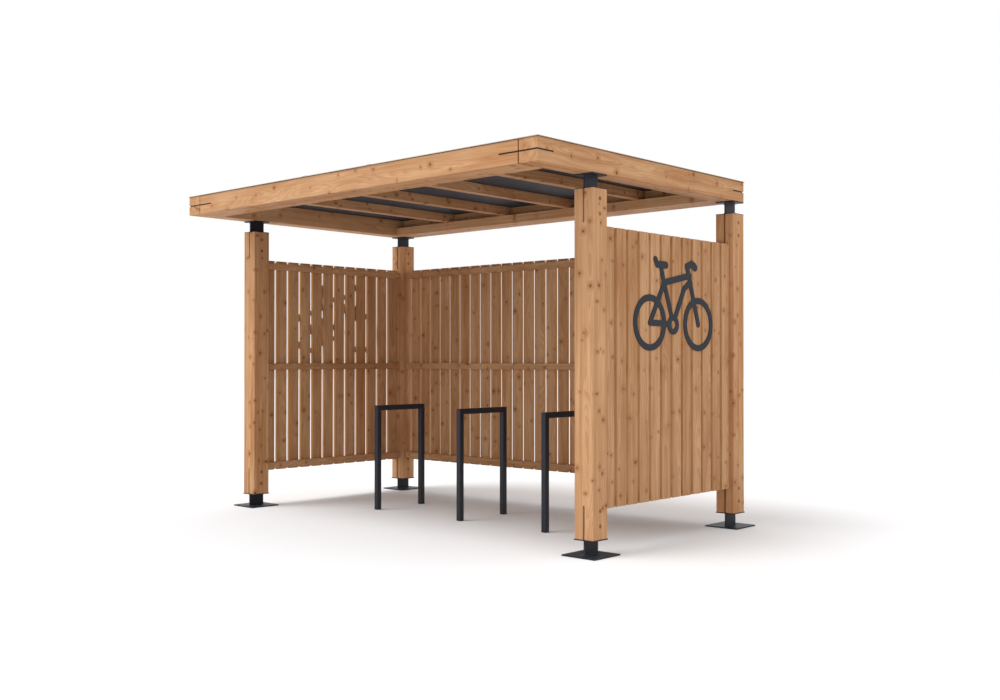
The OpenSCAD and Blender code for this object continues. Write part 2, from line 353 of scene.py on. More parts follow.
def softwood_group():
    """Solid softwood: year rings about a wandering heart, fibres, streaks and knots."""
    name = "Grown softwood"
    if name in bpy.data.node_groups:
        return bpy.data.node_groups[name]
    graph, given, result = new_group(
        name,
        vectors=("Grain",),
        numbers=("Tone", "End grain", "Narrow side", "Ring width", "Knot share"),
        colours=("Sapwood", "Heartwood", "Latewood", "Knot", "Sawn edge, painted light"),
    )
    grain = given["Grain"]
    along, across, through = graph.split(grain)

    # The heart of the log wanders along the length
    sway = graph.split(graph.noise(grain, (1.1, 5.0, 5.0), detail=1.5)[1])
    across = graph.plus(across, graph.line(sway[0], 0.2, 0.8, -0.022, 0.022))
    through = graph.plus(through, graph.line(sway[1], 0.2, 0.8, -0.022, 0.022))
    radius = graph.span(across, through)
    turn = graph.math("ARCTAN2", through, across)

    # Knots are branches that run out from the heart
    step_along = 3.6
    step_turn = 1.25
    cells = graph.add("ShaderNodeTexVoronoi", voronoi_dimensions="2D", feature="F1")
    place = graph.joined(graph.times(along, step_along), graph.times(turn, step_turn), 0.0)
    graph.fill(cells, {"Vector": place, "Scale": 1.0, "Randomness": 0.95})
    here = graph.split(place)
    middle = graph.split(cells.outputs["Position"])
    chance = graph.split(cells.outputs["Color"])
    off_along = graph.math("DIVIDE", graph.math("SUBTRACT", here[0], middle[0]), step_along)
    off_turn = graph.math("DIVIDE", graph.math("SUBTRACT", here[1], middle[1]), step_turn)
    off_round = graph.times(off_turn, radius)
    ragged = graph.noise(grain, (160.0, 160.0, 160.0), detail=1.0)[0]
    distance = graph.span(off_along, off_round)
    distance = graph.plus(distance, graph.line(ragged, 0.2, 0.8, -0.0016, 0.0016))
    size = graph.line(graph.math("POWER", chance[0], 1.2), 0.0, 1.0, 0.0045, 0.0105)
    held = graph.math("LESS_THAN", chance[1], given["Knot share"])
    size = graph.plus(graph.times(size, held), 0.0001)
    nearness = graph.math("DIVIDE", distance, size)
    knot = graph.ramp(nearness, 1.45, 0.40)
    collar = graph.ramp(nearness, 4.6, 0.9)
    whole = graph.line(given["Narrow side"], 0.0, 1.0, 1.0, 0.25)
    knot = graph.times(knot, whole)
    collar = graph.times(collar, whole)

    # Year rings bend round the knots
    shake = graph.noise(grain, (2.2, 55.0, 55.0), detail=1.0)[0]
    grown = graph.plus(radius, graph.times(graph.math("POWER", collar, 2.0), 0.016))
    grown = graph.plus(grown, graph.line(shake, 0.0, 1.0, -0.0026, 0.0026))
    ring = graph.math("FRACT", graph.math("DIVIDE", grown, given["Ring width"]))
    late = graph.times(graph.ramp(ring, 0.25, 0.9), graph.ramp(ring, 1.0, 0.93))

    # Fibres and broad streaks
    fibre = graph.noise(grain, (9.0, 420.0, 420.0), rough=0.6)[0]
    streak = graph.noise(grain, (0.75, 34.0, 34.0), detail=2.5, rough=0.6)[0]
    vein = graph.noise(grain, (1.4, 120.0, 120.0), rough=0.55)[0]
    cloud = graph.noise(grain, (2.4, 9.0, 9.0))[0]
    band = graph.noise(graph.joined(grown, along, 0.0), (75.0, 0.5, 1.0), detail=1.5)[0]

    tint = graph.line(streak, 0.28, 0.72, 0.14, 0.70)
    tint = graph.plus(tint, graph.line(cloud, 0.3, 0.7, -0.26, 0.26))
    tint = graph.plus(tint, graph.line(band, 0.3, 0.7, -0.36, 0.36))
    tint = graph.plus(tint, graph.line(vein, 0.3, 0.7, -0.18, 0.18))
    tint = graph.plus(tint, graph.line(given["Tone"], 0.0, 1.0, -0.14, 0.14))
    kept_tint = graph.add("ShaderNodeClamp")
    graph.feed(kept_tint.inputs[0], tint)
    colour = graph.mix(kept_tint.outputs[0], given["Sapwood"], given["Heartwood"])
    colour = graph.mix(graph.times(late, 0.30), colour, given["Latewood"])
    shade = graph.line(fibre, 0.25, 0.75, 0.93, 1.06)
    shade = graph.times(shade, graph.line(given["Tone"], 0.0, 1.0, 1.04, 0.94))
    warm = graph.joined(shade, graph.math("POWER", shade, 1.33), graph.math("POWER", shade, 1.83))
    colour = graph.mix(1.0, colour, warm, "MULTIPLY")
    # Narrow sides go paler: partly the sawn face, partly painted light in the shaded gaps
    colour = graph.mix(graph.times(given["Narrow side"], 0.2), colour, given["Sawn edge, painted light"])
    colour = graph.mix(graph.times(collar, 0.38), colour, given["Latewood"])
    bark = graph.line(chance[2], 0.0, 1.0, 0.50, 0.95)
    colour = graph.mix(graph.times(knot, bark), colour, given["Knot"])
    # End faces go towards the knot colour: a little for end grain, much more as painted shade in closed
    # joints
    colour = graph.mix(given["End grain"], colour, given["Knot"])
    graph.feed(result["Color"], colour)

    rough = graph.line(fibre, 0.25, 0.75, 0.62, 0.52)
    rough = graph.math("SUBTRACT", rough, graph.times(late, 0.06))
    rough = graph.plus(rough, graph.times(given["End grain"], 0.3))
    graph.feed(result["Roughness"], rough)

    height = graph.plus(graph.times(fibre, 0.55), graph.times(late, 0.35))
    height = graph.plus(height, graph.times(knot, 0.3))
    graph.feed(result["Height"], height)
    return graph.tree


def coat_group():
    """Powder coat or laminate: fine orange peel, faint mottling, dust on upward faces and scuffs."""
    name = "Even coat"
    if name in bpy.data.node_groups:
        return bpy.data.node_groups[name]
    graph, given, result = new_group(
        name,
        vectors=("Place", "Normal"),
        numbers=("Mottle", "Dust", "Scuff", "Base roughness", "Bare"),
        colours=("Coat", "Bare colour, painted light"),
    )
    place = given["Place"]
    peel = graph.noise(place, (620.0, 620.0, 620.0), detail=1.0)[0]
    patch = graph.noise(place, (9.0, 9.0, 9.0), detail=3.0)[0]
    grit = graph.noise(place, (55.0, 55.0, 55.0), detail=3.0, rough=0.7)[0]
    rub = graph.noise(place, (38.0, 38.0, 260.0))[0]

    spread = graph.times(given["Mottle"], graph.line(patch, 0.3, 0.7, -1.0, 1.0))
    shade = graph.plus(1.0, spread)
    colour = graph.mix(1.0, given["Coat"], graph.joined(shade, shade, shade), "MULTIPLY")
    upward = graph.ramp(graph.split(given["Normal"])[2], 0.35, 0.95)
    dust = graph.times(graph.times(upward, given["Dust"]), graph.ramp(grit, 0.35, 0.75))
    colour = graph.mix(dust, colour, DUST)
    scuff = graph.times(graph.ramp(rub, 0.62, 0.78), given["Scuff"])
    colour = graph.mix(scuff, colour, RUBBED)
    # Bare faces take their own colour, lifted with painted light
    colour = graph.mix(given["Bare"], colour, given["Bare colour, painted light"])
    graph.feed(result["Color"], colour)
    rough = graph.plus(given["Base roughness"], graph.line(patch, 0.3, 0.7, -0.05, 0.05))
    rough = graph.plus(rough, graph.times(dust, 0.35))
    graph.feed(result["Roughness"], rough)
    graph.feed(result["Height"], graph.math("SUBTRACT", peel, graph.times(scuff, 0.4)))
    return graph.tree


def start_material(name):
    """Empty node material and its graph."""
    material = bpy.data.materials.new(name)
    material.use_nodes = True
    material.node_tree.nodes.clear()
    return material, Graph(material.node_tree)


def close_material(graph, effect, bump_strength, bump_depth, gloss):
    """Principled surface fed by the colour, roughness and height of an effect group."""
    made = effect.outputs
    bump = graph.add("ShaderNodeBump")
    graph.fill(bump, {"Strength": bump_strength, "Distance": bump_depth, "Height": made["Height"]})
    surface = graph.add("ShaderNodeBsdfPrincipled")
    graph.fill(surface, {"Base Color": made["Color"], "Roughness": made["Roughness"]})
    graph.fill(surface, {"Normal": bump.outputs["Normal"], "Specular IOR Level": gloss})
    output = graph.add("ShaderNodeOutputMaterial")
    graph.feed(output.inputs["Surface"], surface.outputs[0])


def wood_finish(name, knots, darken=0.0):
    """Oiled softwood that reads the grain stored in the mesh."""
    if name in bpy.data.materials:
        return bpy.data.materials[name]
    look = bpy.context.scene.shelter_timber
    material, graph = start_material(name)
    wood = graph.add("ShaderNodeGroup", node_tree=softwood_group())
    for label, attribute, output in (
        ("Grain", "grain", "Vector"),
        ("Tone", "tone", "Fac"),
        ("End grain", "end_grain_and_joint_shade", "Fac"),
        ("Narrow side", "narrow_side", "Fac"),
    ):
        stored = graph.add("ShaderNodeAttribute", attribute_name=attribute)
        graph.feed(wood.inputs[label], stored.outputs[output])
    keep = 1.0 - darken
    for label, colour in (
        ("Sapwood", look.sapwood),
        ("Heartwood", look.heartwood),
        ("Latewood", look.latewood),
        ("Knot", look.knot),
        ("Sawn edge, painted light", look.sawn_edge_painted_light),
    ):
        wood.inputs[label].default_value = (*(part * keep for part in colour), 1.0)
    graph.fill(wood, {"Ring width": look.ring_width, "Knot share": knots})
    close_material(graph, wood, WOOD_BUMP, WOOD_BUMP_DEPTH, WOOD_GLOSS)
    return material


def wall_finish(look):
    """Softwood of the boards and rails, a little darker than the frame."""
    return wood_finish("Wall boards", look.board_knots, look.board_shade)


def coat_finish(name, coat, bare=None):
    """Coated surface with the given colour, and on faces that are marked bare another one, which holds
    painted light.
    """
    if name in bpy.data.materials:
        return bpy.data.materials[name]
    *feel, bump, gloss = COATS[name]
    material, graph = start_material(name)
    even = graph.add("ShaderNodeGroup", node_tree=coat_group())
    place = graph.add("ShaderNodeTexCoord")
    side = graph.add("ShaderNodeNewGeometry")
    graph.fill(even, {"Place": place.outputs["Object"], "Normal": side.outputs["Normal"]})
    graph.fill(even, {"Coat": (*coat, 1.0)})
    graph.fill(even, dict(zip(("Mottle", "Dust", "Scuff", "Base roughness"), feel)))
    if bare:
        marked = graph.add("ShaderNodeAttribute", attribute_name="bare")
        graph.fill(even, {"Bare": marked.outputs["Fac"], "Bare colour, painted light": (*bare, 1.0)})
    close_material(graph, even, bump, COAT_BUMP_DEPTH, gloss)
    return material


def join_flat(mesh, distance):
    """Merges doubled points and joins faces that lie in one plane."""
    bmesh.ops.remove_doubles(mesh, verts=mesh.verts, dist=distance)
    bmesh.ops.dissolve_limit(mesh, angle_limit=FLAT_ANGLE, verts=mesh.verts, edges=mesh.edges)


def solid_of(node):
    """Mesh of a packed node with as few points and faces as its shape needs."""
    mesh = bmesh.new()
    mesh.from_mesh(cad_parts[node].data)
    join_flat(mesh, MERGE_DISTANCE)
    return mesh


def ease_edges(mesh, offset, least_angle=24.0, segments=2):
    """Rounds the outward edges of a solid."""
    sharp = [
        edge
        for edge in mesh.edges
        if edge.is_manifold and edge.is_convex and edge.calc_face_angle() > math.radians(least_angle)
    ]
    bmesh.ops.bevel(
        mesh,
        geom=sharp,
        offset=offset,
        offset_type="OFFSET",
        segments=segments,
        profile=0.5,
        affect="EDGES",
        clamp_overlap=True,
    )


def loose_parts(mesh):
    """Lists of the points of each separate solid in a mesh."""
    waiting = set(mesh.verts)
    parts = []
    for first in mesh.verts:
        if first not in waiting:
            continue
        waiting.discard(first)
        part = [first]
        for point in part:
            for edge in point.link_edges:
                other = edge.other_vert(point)
                if other in waiting:
                    waiting.discard(other)
                    part.append(other)
        parts.append(part)
    return parts


def grow_grain(mesh, draw, end_shade):
    """Stores each solid's own place in its log: along the length and away from the heart."""
    grain = mesh.verts.layers.float_vector.new("grain")
    tone = mesh.verts.layers.float.new("tone")
    end = mesh.faces.layers.float.new("end_grain_and_joint_shade")
    narrow = mesh.faces.layers.float.new("narrow_side")
    for part in loose_parts(mesh):
        low = Vector(min(point.co[axis] for point in part) for axis in range(3))
        high = Vector(max(point.co[axis] for point in part) for axis in range(3))
        size = high - low
        middle = (low + high) / 2
        along, wide, thin = sorted(range(3), key=lambda axis: -size[axis])
        board = size[wide] > 2 * size[thin]
        if board:
            sideways = draw.uniform(-0.35, 0.35) * size[wide]
            heart = (sideways, draw.choice((-1, 1)) * draw.uniform(0.05, 0.12))
        elif size[wide] < SLIM_TIMBER:
            heart = (draw.uniform(-0.03, 0.03), draw.choice((-1, 1)) * draw.uniform(0.04, 0.08))
        else:
            heart = (draw.uniform(-0.3, 0.3) * size[wide], draw.uniform(-0.3, 0.3) * size[thin])
        way = draw.choice((-1, 1))
        shift = draw.uniform(5.0, 95.0)
        own_tone = draw.random()
        for point in part:
            place = point.co - middle
            point[grain] = (place[along] * way + shift, place[wide] - heart[0], place[thin] - heart[1])
            point[tone] = own_tone
        for face in {face for point in part for face in point.link_faces}:
            # End faces store end_shade: end grain in the open, painted shade in a closed joint
            face[end] = end_shade if abs(face.normal[along]) > END_FACING else 0.0
            face[narrow] = 1.0 if board and abs(face.normal[thin]) < SIDE_FACING else 0.0


def mark_bare(mesh, chosen):
    """Stores which faces of a coated piece show bare."""
    bare = mesh.faces.layers.float.new("bare")
    mesh.normal_update()
    for face in mesh.faces:
        face[bare] = 1.0 if chosen(face) else 0.0


def place_piece(name, mesh, material, stands_for=()):
    """Object of a finished mesh, riding on the shelter."""
    data = bpy.data.meshes.new(name)
    mesh.normal_update()
    mesh.to_mesh(data)
    mesh.free()
    data.materials.append(material)
    data.shade_smooth()
    data.set_sharp_from_angle(angle=SHARP_ANGLE)
    piece = bpy.data.objects.new(name, data)
    bpy.context.scene.collection.objects.link(piece)
    weighted = piece.modifiers.new("Even normals", "WEIGHTED_NORMAL")
    weighted.keep_sharp = True
    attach(piece, "root")
    if stands_for:
        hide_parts(*stands_for)


def timber_pieces(nodes, material, group, closed=()):
    """Rounded, grained copies of packed timber nodes. Ends in closed joints are darkened with painted
    shade.
    """
    draw = random.Random(SEEDS[group])
    round_by = bpy.context.scene.shelter_timber.edge_round
    for node in nodes:
        mesh = solid_of(node)
        ease_edges(mesh, round_by)
        grow_grain(mesh, draw, CLOSED_JOINT_PAINTED_SHADE if node in closed else OPEN_END)
        place_piece(f"{node}_timber", mesh, material, (node,))


def widen_seat(mesh, corner):
    """Draws out the seat plate of a foot, past the post's sides and down from its end."""
    look = bpy.context.scene.shelter_steel
    low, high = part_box(f"post_{corner}")
    middle = (low + high) / 2
    half = (high.x - low.x) / 2

    def at_side(offset):
        return abs(abs(offset) - half) < SAME_PLACE

    rim = [
        point
        for point in mesh.verts
        if at_side(point.co.x - middle.x) and at_side(point.co.y - middle.y)
    ]
    lower = min(point.co.z for point in rim)
    for point in rim:
        point.co.x += math.copysign(look.seat_rim, point.co.x - middle.x)
        point.co.y += math.copysign(look.seat_rim, point.co.y - middle.y)
    for point in mesh.verts:
        if abs(point.co.z - lower) < SAME_PLACE:
            point.co.z -= look.seat_extra


def circle(sides):
    """Cosine and sine of evenly spaced angles all round."""
    angles = [2 * math.pi * index / sides for index in range(sides)]
    return [(math.cos(angle), math.sin(angle)) for angle in angles]


def bridge(mesh, rings):
    """Adds the faces between each ring of points and the next."""
    for ring, following in zip(rings, rings[1:]):
        for index in range(len(ring)):
            after = (index + 1) % len(ring)
            mesh.faces.new((ring[index], ring[after], following[after], following[index]))


def lathe(mesh, profile, radius, place, sides):
    """Adds a turned solid of the given profile."""
    rings = []
    for share, height in profile:
        reach = share * radius
        ring = [Vector((reach * right, reach * up, height)) for right, up in circle(sides)]
        rings.append([mesh.verts.new(place @ point) for point in ring])
    bridge(mesh, rings)
    mesh.faces.new(rings[-1])
    mesh.faces.new(reversed(rings[0]))


def rounded_square(half, corner, steps=4):
    """Points of a square section with rounded corners."""
    points = []
    for quarter in range(4):
        middle = math.pi / 4 + quarter * math.pi / 2
        reach = (half - corner) * math.sqrt(2)
        for index in range(steps):
            angle = quarter * math.pi / 2 + math.pi / 2 * index / (steps - 1)
            across = reach * math.cos(middle) + corner * math.cos(angle)
            outward = reach * math.sin(middle) + corner * math.sin(angle)
            points.append((across, outward))
    return points


def hoop_tube(low, high, width, wall, height):
    """Hoop of square tube with mitred corners, on the middle lines of a packed stand."""
    across = (low.x + high.x) / 2
    front = low.y + across - low.x
    back = high.y - across + low.x
    top = height - width / 2
    mesh = bmesh.new()
    skins = []
    for half, corner in ((width / 2, 1.5 * wall), (width / 2 - wall, 0.5 * wall)):
        section = rounded_square(half, corner)
        skins.append(
            [
                [mesh.verts.new((across + side, front - out, low.z)) for side, out in section],
                [mesh.verts.new((across + side, front - out, top + out)) for side, out in section],
                [mesh.verts.new((across + side, back + out, top + out)) for side, out in section],
                [mesh.verts.new((across + side, back + out, low.z)) for side, out in section],
            ]
        )
    outer, inner = skins
    loop = outer + inner[::-1]
    bridge(mesh, loop + loop[:1])
    bmesh.ops.recalc_face_normals(mesh, faces=mesh.faces)
    return mesh


def middle_line(rafter):
    """Place of a rafter's middle line across the roof."""
    return sum(corner.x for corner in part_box(rafter)) / 2


def facing(point, direction):
    """Placement at a point with its height along a direction."""
    turn = Vector(direction).to_track_quat("Z", "Y").to_matrix().to_4x4()
    return Matrix.Translation(point) @ turn


def bead_along(mesh, corners, height, draw):
    """Adds a rippled weld bead along a closed path that lies level."""
    points = []
    for start, stop in zip(corners, corners[1:] + corners[:1]):
        steps = max(2, round((stop - start).length / BEAD_STEP))
        points.extend(start.lerp(stop, index / steps) for index in range(steps))
    upward = Vector((0, 0, 1))
    rings = []
    total = len(points)
    for index, point in enumerate(points):
        forward = (points[(index + 1) % total] - points[index - 1]).normalized()
        outward = forward.cross(upward)
        uneven = draw.uniform(-BEAD_UNEVEN, BEAD_UNEVEN)
        swell = height * (BEAD_LEAST + BEAD_RIPPLE * (index % 2) + uneven)
        ring = [outward * right + upward * up for right, up in circle(BEAD_SIDES)]
        rings.append([mesh.verts.new(point + offset * swell) for offset in ring])
    bridge(mesh, rings + rings[:1])


class SHELTER_OT_timber_frame(bpy.types.Operator):
    """Posts, beams, ledgers and rafters of planed timber"""

    bl_idname = "shelter.timber_frame"
    bl_label = "Timber frame"

    def execute(self, context):
        finish = wood_finish("Planed timber", context.scene.shelter_timber.knot_share)
        posts = [f"post_{corner}" for corner in CORNERS]
        timber_pieces(posts, finish, "posts")
        timber_pieces(BEAMS, finish, "beams", BUTTED_BEAMS)
        timber_pieces(LEDGERS + RAFTERS, finish, "rafters")
        return {"FINISHED"}


class SHELTER_OT_wall_boards(bpy.types.Operator):
    """Upright boards of the three walls"""

    bl_idname = "shelter.wall_boards"
    bl_label = "Wall boards"

    def execute(self, context):
        nodes = [f"{wall}_wall_boards" for wall in WALLS]
        timber_pieces(nodes, wall_finish(context.scene.shelter_timber), "boards")
        return {"FINISHED"}


class SHELTER_OT_wall_rails(bpy.types.Operator):
    """Level rails behind the boards"""

    bl_idname = "shelter.wall_rails"
    bl_label = "Wall rails"

    def execute(self, context):
        nodes = [f"{wall}_rail_{level}" for wall in WALLS for level in RAIL_LEVELS]
        timber_pieces(nodes, wall_finish(context.scene.shelter_timber), "rails")
        return {"FINISHED"}


class SHELTER_OT_steelwork(bpy.types.Operator):
    """Feet, heads and corner plates of coated steel"""

    bl_idname = "shelter.steelwork"
    bl_label = "Steelwork"

    def execute(self, context):
        look = context.scene.shelter_steel
        finish = coat_finish("Powder coat", look.coat)
        for kind in ("foot", "head", "corner_plate"):
            for corner in CORNERS:
                node = f"{kind}_{corner}"
                mesh = solid_of(node)
                if kind == "foot":
                    widen_seat(mesh, corner)
                ease_edges(mesh, look.edge_round)
                place_piece(f"{node}_steel", mesh, finish, (node,))
        return {"FINISHED"}


class SHELTER_OT_roof_sheet(bpy.types.Operator):
    """Flat laminate sheet of the roof"""

    bl_idname = "shelter.roof_sheet"
    bl_label = "Roof sheet"

    def execute(self, context):
        look = context.scene.shelter_steel
        finish = coat_finish("Roof laminate", look.sheet, bare=look.sheet_edge_painted_highlight)
        mesh = solid_of("roof_sheet")
        ease_edges(mesh, look.edge_round)
        # Side faces take the edge colour: a cut edge with a painted highlight
        mark_bare(mesh, lambda face: abs(face.normal.z) < SIDE_FACING)
        place_piece("roof_sheet_panel", mesh, finish, ("roof_sheet",))
        return {"FINISHED"}


class SHELTER_OT_roof_covers(bpy.types.Operator):
    """Folded strips over the joints of the roof sheets, along two rafters"""

    bl_idname = "shelter.roof_covers"
    bl_label = "Roof cover strips"

    def execute(self, context):
        look = context.scene.shelter_steel
        finish = coat_finish("Cover strip coat", look.coat)
        half = look.cover_width / 2
        rise = look.cover_height
        slope = [(half, 0.3 * rise), (0.86 * half, 0.8 * rise), (0.3 * half, rise)]
        section = [(-half, 0.0), (half, 0.0), *slope]
        section += [(-side, up) for side, up in reversed(slope)]
        low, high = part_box("roof_sheet")
        for node in JOINT_RAFTERS:
            middle = middle_line(node)
            mesh = bmesh.new()
            front, back = (
                [mesh.verts.new((middle + side, end, high.z + up)) for side, up in section]
                for end in (low.y + COVER_TRIM, high.y - COVER_TRIM)
            )
            mesh.faces.new(front)
            mesh.faces.new(reversed(back))
            bridge(mesh, (back, front))
            bmesh.ops.recalc_face_normals(mesh, faces=mesh.faces)
            place_piece(f"roof_cover_{node}", mesh, finish)
        return {"FINISHED"}


class SHELTER_OT_stands(bpy.types.Operator):
    """Hoop stands of square tube"""

    bl_idname = "shelter.stands"
    bl_label = "Hoop stands"

    def execute(self, context):
        look = context.scene.shelter_steel
        finish = coat_finish("Stand coat", look.coat)
        for node in STANDS:
            mesh = hoop_tube(*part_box(node), look.stand_tube, look.stand_wall, look.stand_height)
            ease_edges(mesh, look.edge_round, least_angle=60.0)
            place_piece(f"{node}_tube", mesh, finish, (node,))
        return {"FINISHED"}


class SHELTER_OT_dowel_plugs(bpy.types.Operator):
    """Plugs over the dowels that hold the steel blades in the posts"""

    bl_idname = "shelter.dowel_plugs"
    bl_label = "Dowel plugs"

    def execute(self, context):
        look = context.scene.shelter_fixings
        finish = coat_finish("Dowel end grain", look.plug)
        radius = look.plug_width / 2
        for corner in CORNERS:
            low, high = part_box(f"post_{corner}")
            middle = (low + high) / 2
            levels = (
                high.z - look.plug_top_near,
                high.z - look.plug_top_far,
                low.z + look.plug_foot_near,
                low.z + look.plug_foot_far,
            )
            mesh = bmesh.new()
            for level in levels:
                for side, way in ((low.x, -1), (high.x, 1)):
                    place = facing((side, middle.y, level), (way, 0, 0))
                    lathe(mesh, PLUG_PROFILE, radius, place, sides=20)
            place_piece(f"dowel_plugs_{corner}", mesh, finish)
        return {"FINISHED"}


class SHELTER_OT_screws(bpy.types.Operator):
    """Screws through the rails into each board, and along the roof sheet"""

    bl_idname = "shelter.screws"
    bl_label = "Screws"

    def execute(self, context):
        look = context.scene.shelter_fixings
        finish = coat_finish("Screw coat", look.zinc)
        self.screw_rails(look, finish)
        self.screw_roof(look, context.scene.shelter_steel, finish)
        return {"FINISHED"}

    def screw_rails(self, look, finish):
        radius = look.screw_width / 2
        for wall in WALLS:
            boards = solid_of(f"{wall}_wall_boards")
            run = 0 if wall == "back" else 1
            middles = sorted(
                (min(point.co[run] for point in part) + max(point.co[run] for point in part)) / 2
                for part in loose_parts(boards)
            )
            boards.free()
            mesh = bmesh.new()
            for row in RAIL_LEVELS:
                low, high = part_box(f"{wall}_rail_{row}")
                height = (low.z + high.z) / 2
                for index, middle in enumerate(middles):
                    if not low[run] + radius < middle < high[run] - radius:
                        continue
                    level = height + (SCREW_STAGGER if index % 2 else -SCREW_STAGGER)
                    if wall == "back":
                        place = facing((middle, low.y, level), (0, -1, 0))
                    elif wall == "left":
                        place = facing((high.x, middle, level), (1, 0, 0))
                    else:
                        place = facing((low.x, middle, level), (-1, 0, 0))
                    lathe(mesh, SCREW_PROFILE, radius, place, sides=12)
            place_piece(f"rail_screws_{wall}", mesh, finish)

    def screw_roof(self, look, steel, finish):
        radius = look.roof_screw_width / 2
        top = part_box("roof_sheet")[1].z
        covers = [middle_line(node) for node in JOINT_RAFTERS]
        mesh = bmesh.new()
        for node in BEAMS + RAFTERS:
            low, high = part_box(node)
            middle = (low + high) / 2
            run = 0 if high.x - low.x > high.y - low.y else 1
            trim = BUTTED_BEAM_TRIM if node in BUTTED_BEAMS else ROOF_SCREW_TRIM
            length = high[run] - low[run] - 2 * trim
            count = max(2, round(length / look.roof_screw_step) + 1)
            for index in range(count):
                spot = Vector((middle.x, middle.y, top))
                spot[run] = low[run] + trim + length * index / (count - 1)
                if any(abs(spot.x - cover) < steel.cover_width / 2 for cover in covers):
                    spot.z += steel.cover_height
                lathe(mesh, ROOF_SCREW_PROFILE, radius, facing(spot, (0, 0, 1)), sides=16)
        place_piece("roof_screws", mesh, finish)


def fin_outline(node, kind):
    """Levels at which a fin meets its plates, and the corners of its section."""
    points = [vertex.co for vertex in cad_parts[node].data.vertices]
    levels = sorted({round(point.z, 4) for point in points})
    if kind == "foot":
        lower, upper, blade = levels[1], levels[2], levels[-1]
    else:
        lower, upper, blade = levels[-3], levels[-2], levels[0]
    sides = [point.x for point in points if abs(point.z - blade) < SAME_PLACE]
    low_x, high_x = min(sides), max(sides)
    edges = [
        point.y
        for point in points
        if abs(point.z - lower) < SAME_PLACE and low_x - SAME_PLACE < point.x < high_x + SAME_PLACE
    ]
    low_y, high_y = min(edges), max(edges)
    if kind == "foot":
        upper -= bpy.context.scene.shelter_steel.seat_extra
    return (lower, upper), [(low_x, low_y), (high_x, low_y), (high_x, high_y), (low_x, high_y)]


class SHELTER_OT_weld_beads(bpy.types.Operator):
    """Weld beads round the fins of the feet and heads"""

    bl_idname = "shelter.weld_beads"
    bl_label = "Weld beads"

    def execute(self, context):
        look = context.scene.shelter_steel
        finish = coat_finish("Powder coat", look.coat)
        draw = random.Random(SEEDS["beads"])
        for kind in ("foot", "head"):
            for corner in CORNERS:
                levels, corners = fin_outline(f"{kind}_{corner}", kind)
                mesh = bmesh.new()
                for level in levels:
                    path = [Vector((x, y, level)) for x, y in corners]
                    bead_along(mesh, path, look.bead, draw)
                place_piece(f"{kind}_welds_{corner}", mesh, finish)
        return {"FINISHED"}


def bar_outline(start, stop, width, steps=10):
    """Outline of a straight bar with round ends."""
    turn = math.atan2(stop.y - start.y, stop.x - start.x)
    outline = []
    for centre, first in ((stop, turn - math.pi / 2), (start, turn + math.pi / 2)):
        for index in range(steps + 1):
            angle = first + math.pi * index / steps
            outline.append(centre + Vector((math.cos(angle), math.sin(angle))) * width / 2)
    return outline


def plate_of(outline, thickness):
    """Flat plate of an outline in the plane of the sign."""
    mesh = bmesh.new()
    lower = [mesh.verts.new((0.0, point.x, point.y)) for point in outline]
    upper = [mesh.verts.new((thickness, point.x, point.y)) for point in outline]
    mesh.faces.new(reversed(lower))
    mesh.faces.new(upper)
    bridge(mesh, (lower, upper))
    return mesh


def ring_of(centre, radius, width, thickness, sides=64):
    """Flat ring in the plane of the sign."""
    mesh = bmesh.new()
    inner = radius - width
    loops = []
    for size, depth in ((radius, 0.0), (radius, thickness), (inner, thickness), (inner, 0.0)):
        loop = [(depth, centre[0] + size * right, centre[1] + size * up) for right, up in circle(sides)]
        loops.append([mesh.verts.new(point) for point in loop])
    bridge(mesh, loops + loops[:1])
    return mesh


def joined_plates(plates):
    """One closed solid of overlapping plates."""
    helpers = []
    for index, mesh in enumerate(plates):
        bmesh.ops.recalc_face_normals(mesh, faces=mesh.faces)
        data = bpy.data.meshes.new(f"sign_part_{index}")
        mesh.to_mesh(data)
        mesh.free()
        helper = bpy.data.objects.new(f"sign_part_{index}", data)
        bpy.context.scene.collection.objects.link(helper)
        helpers.append(helper)
    whole = helpers[0]
    for helper in helpers[1:]:
        join = whole.modifiers.new("Join", "BOOLEAN")
        join.operation = "UNION"
        join.solver = "EXACT"
        join.object = helper
    bpy.context.view_layer.update()
    shown = whole.evaluated_get(bpy.context.evaluated_depsgraph_get())
    result = bmesh.new()
    result.from_mesh(shown.to_mesh())
    shown.to_mesh_clear()
    for helper in helpers:
        data = helper.data
        bpy.data.objects.remove(helper)
        bpy.data.meshes.remove(data)
    if not result.faces:
        raise RuntimeError("The sign plates did not join")
    join_flat(result, 2 * MERGE_DISTANCE)
    return result


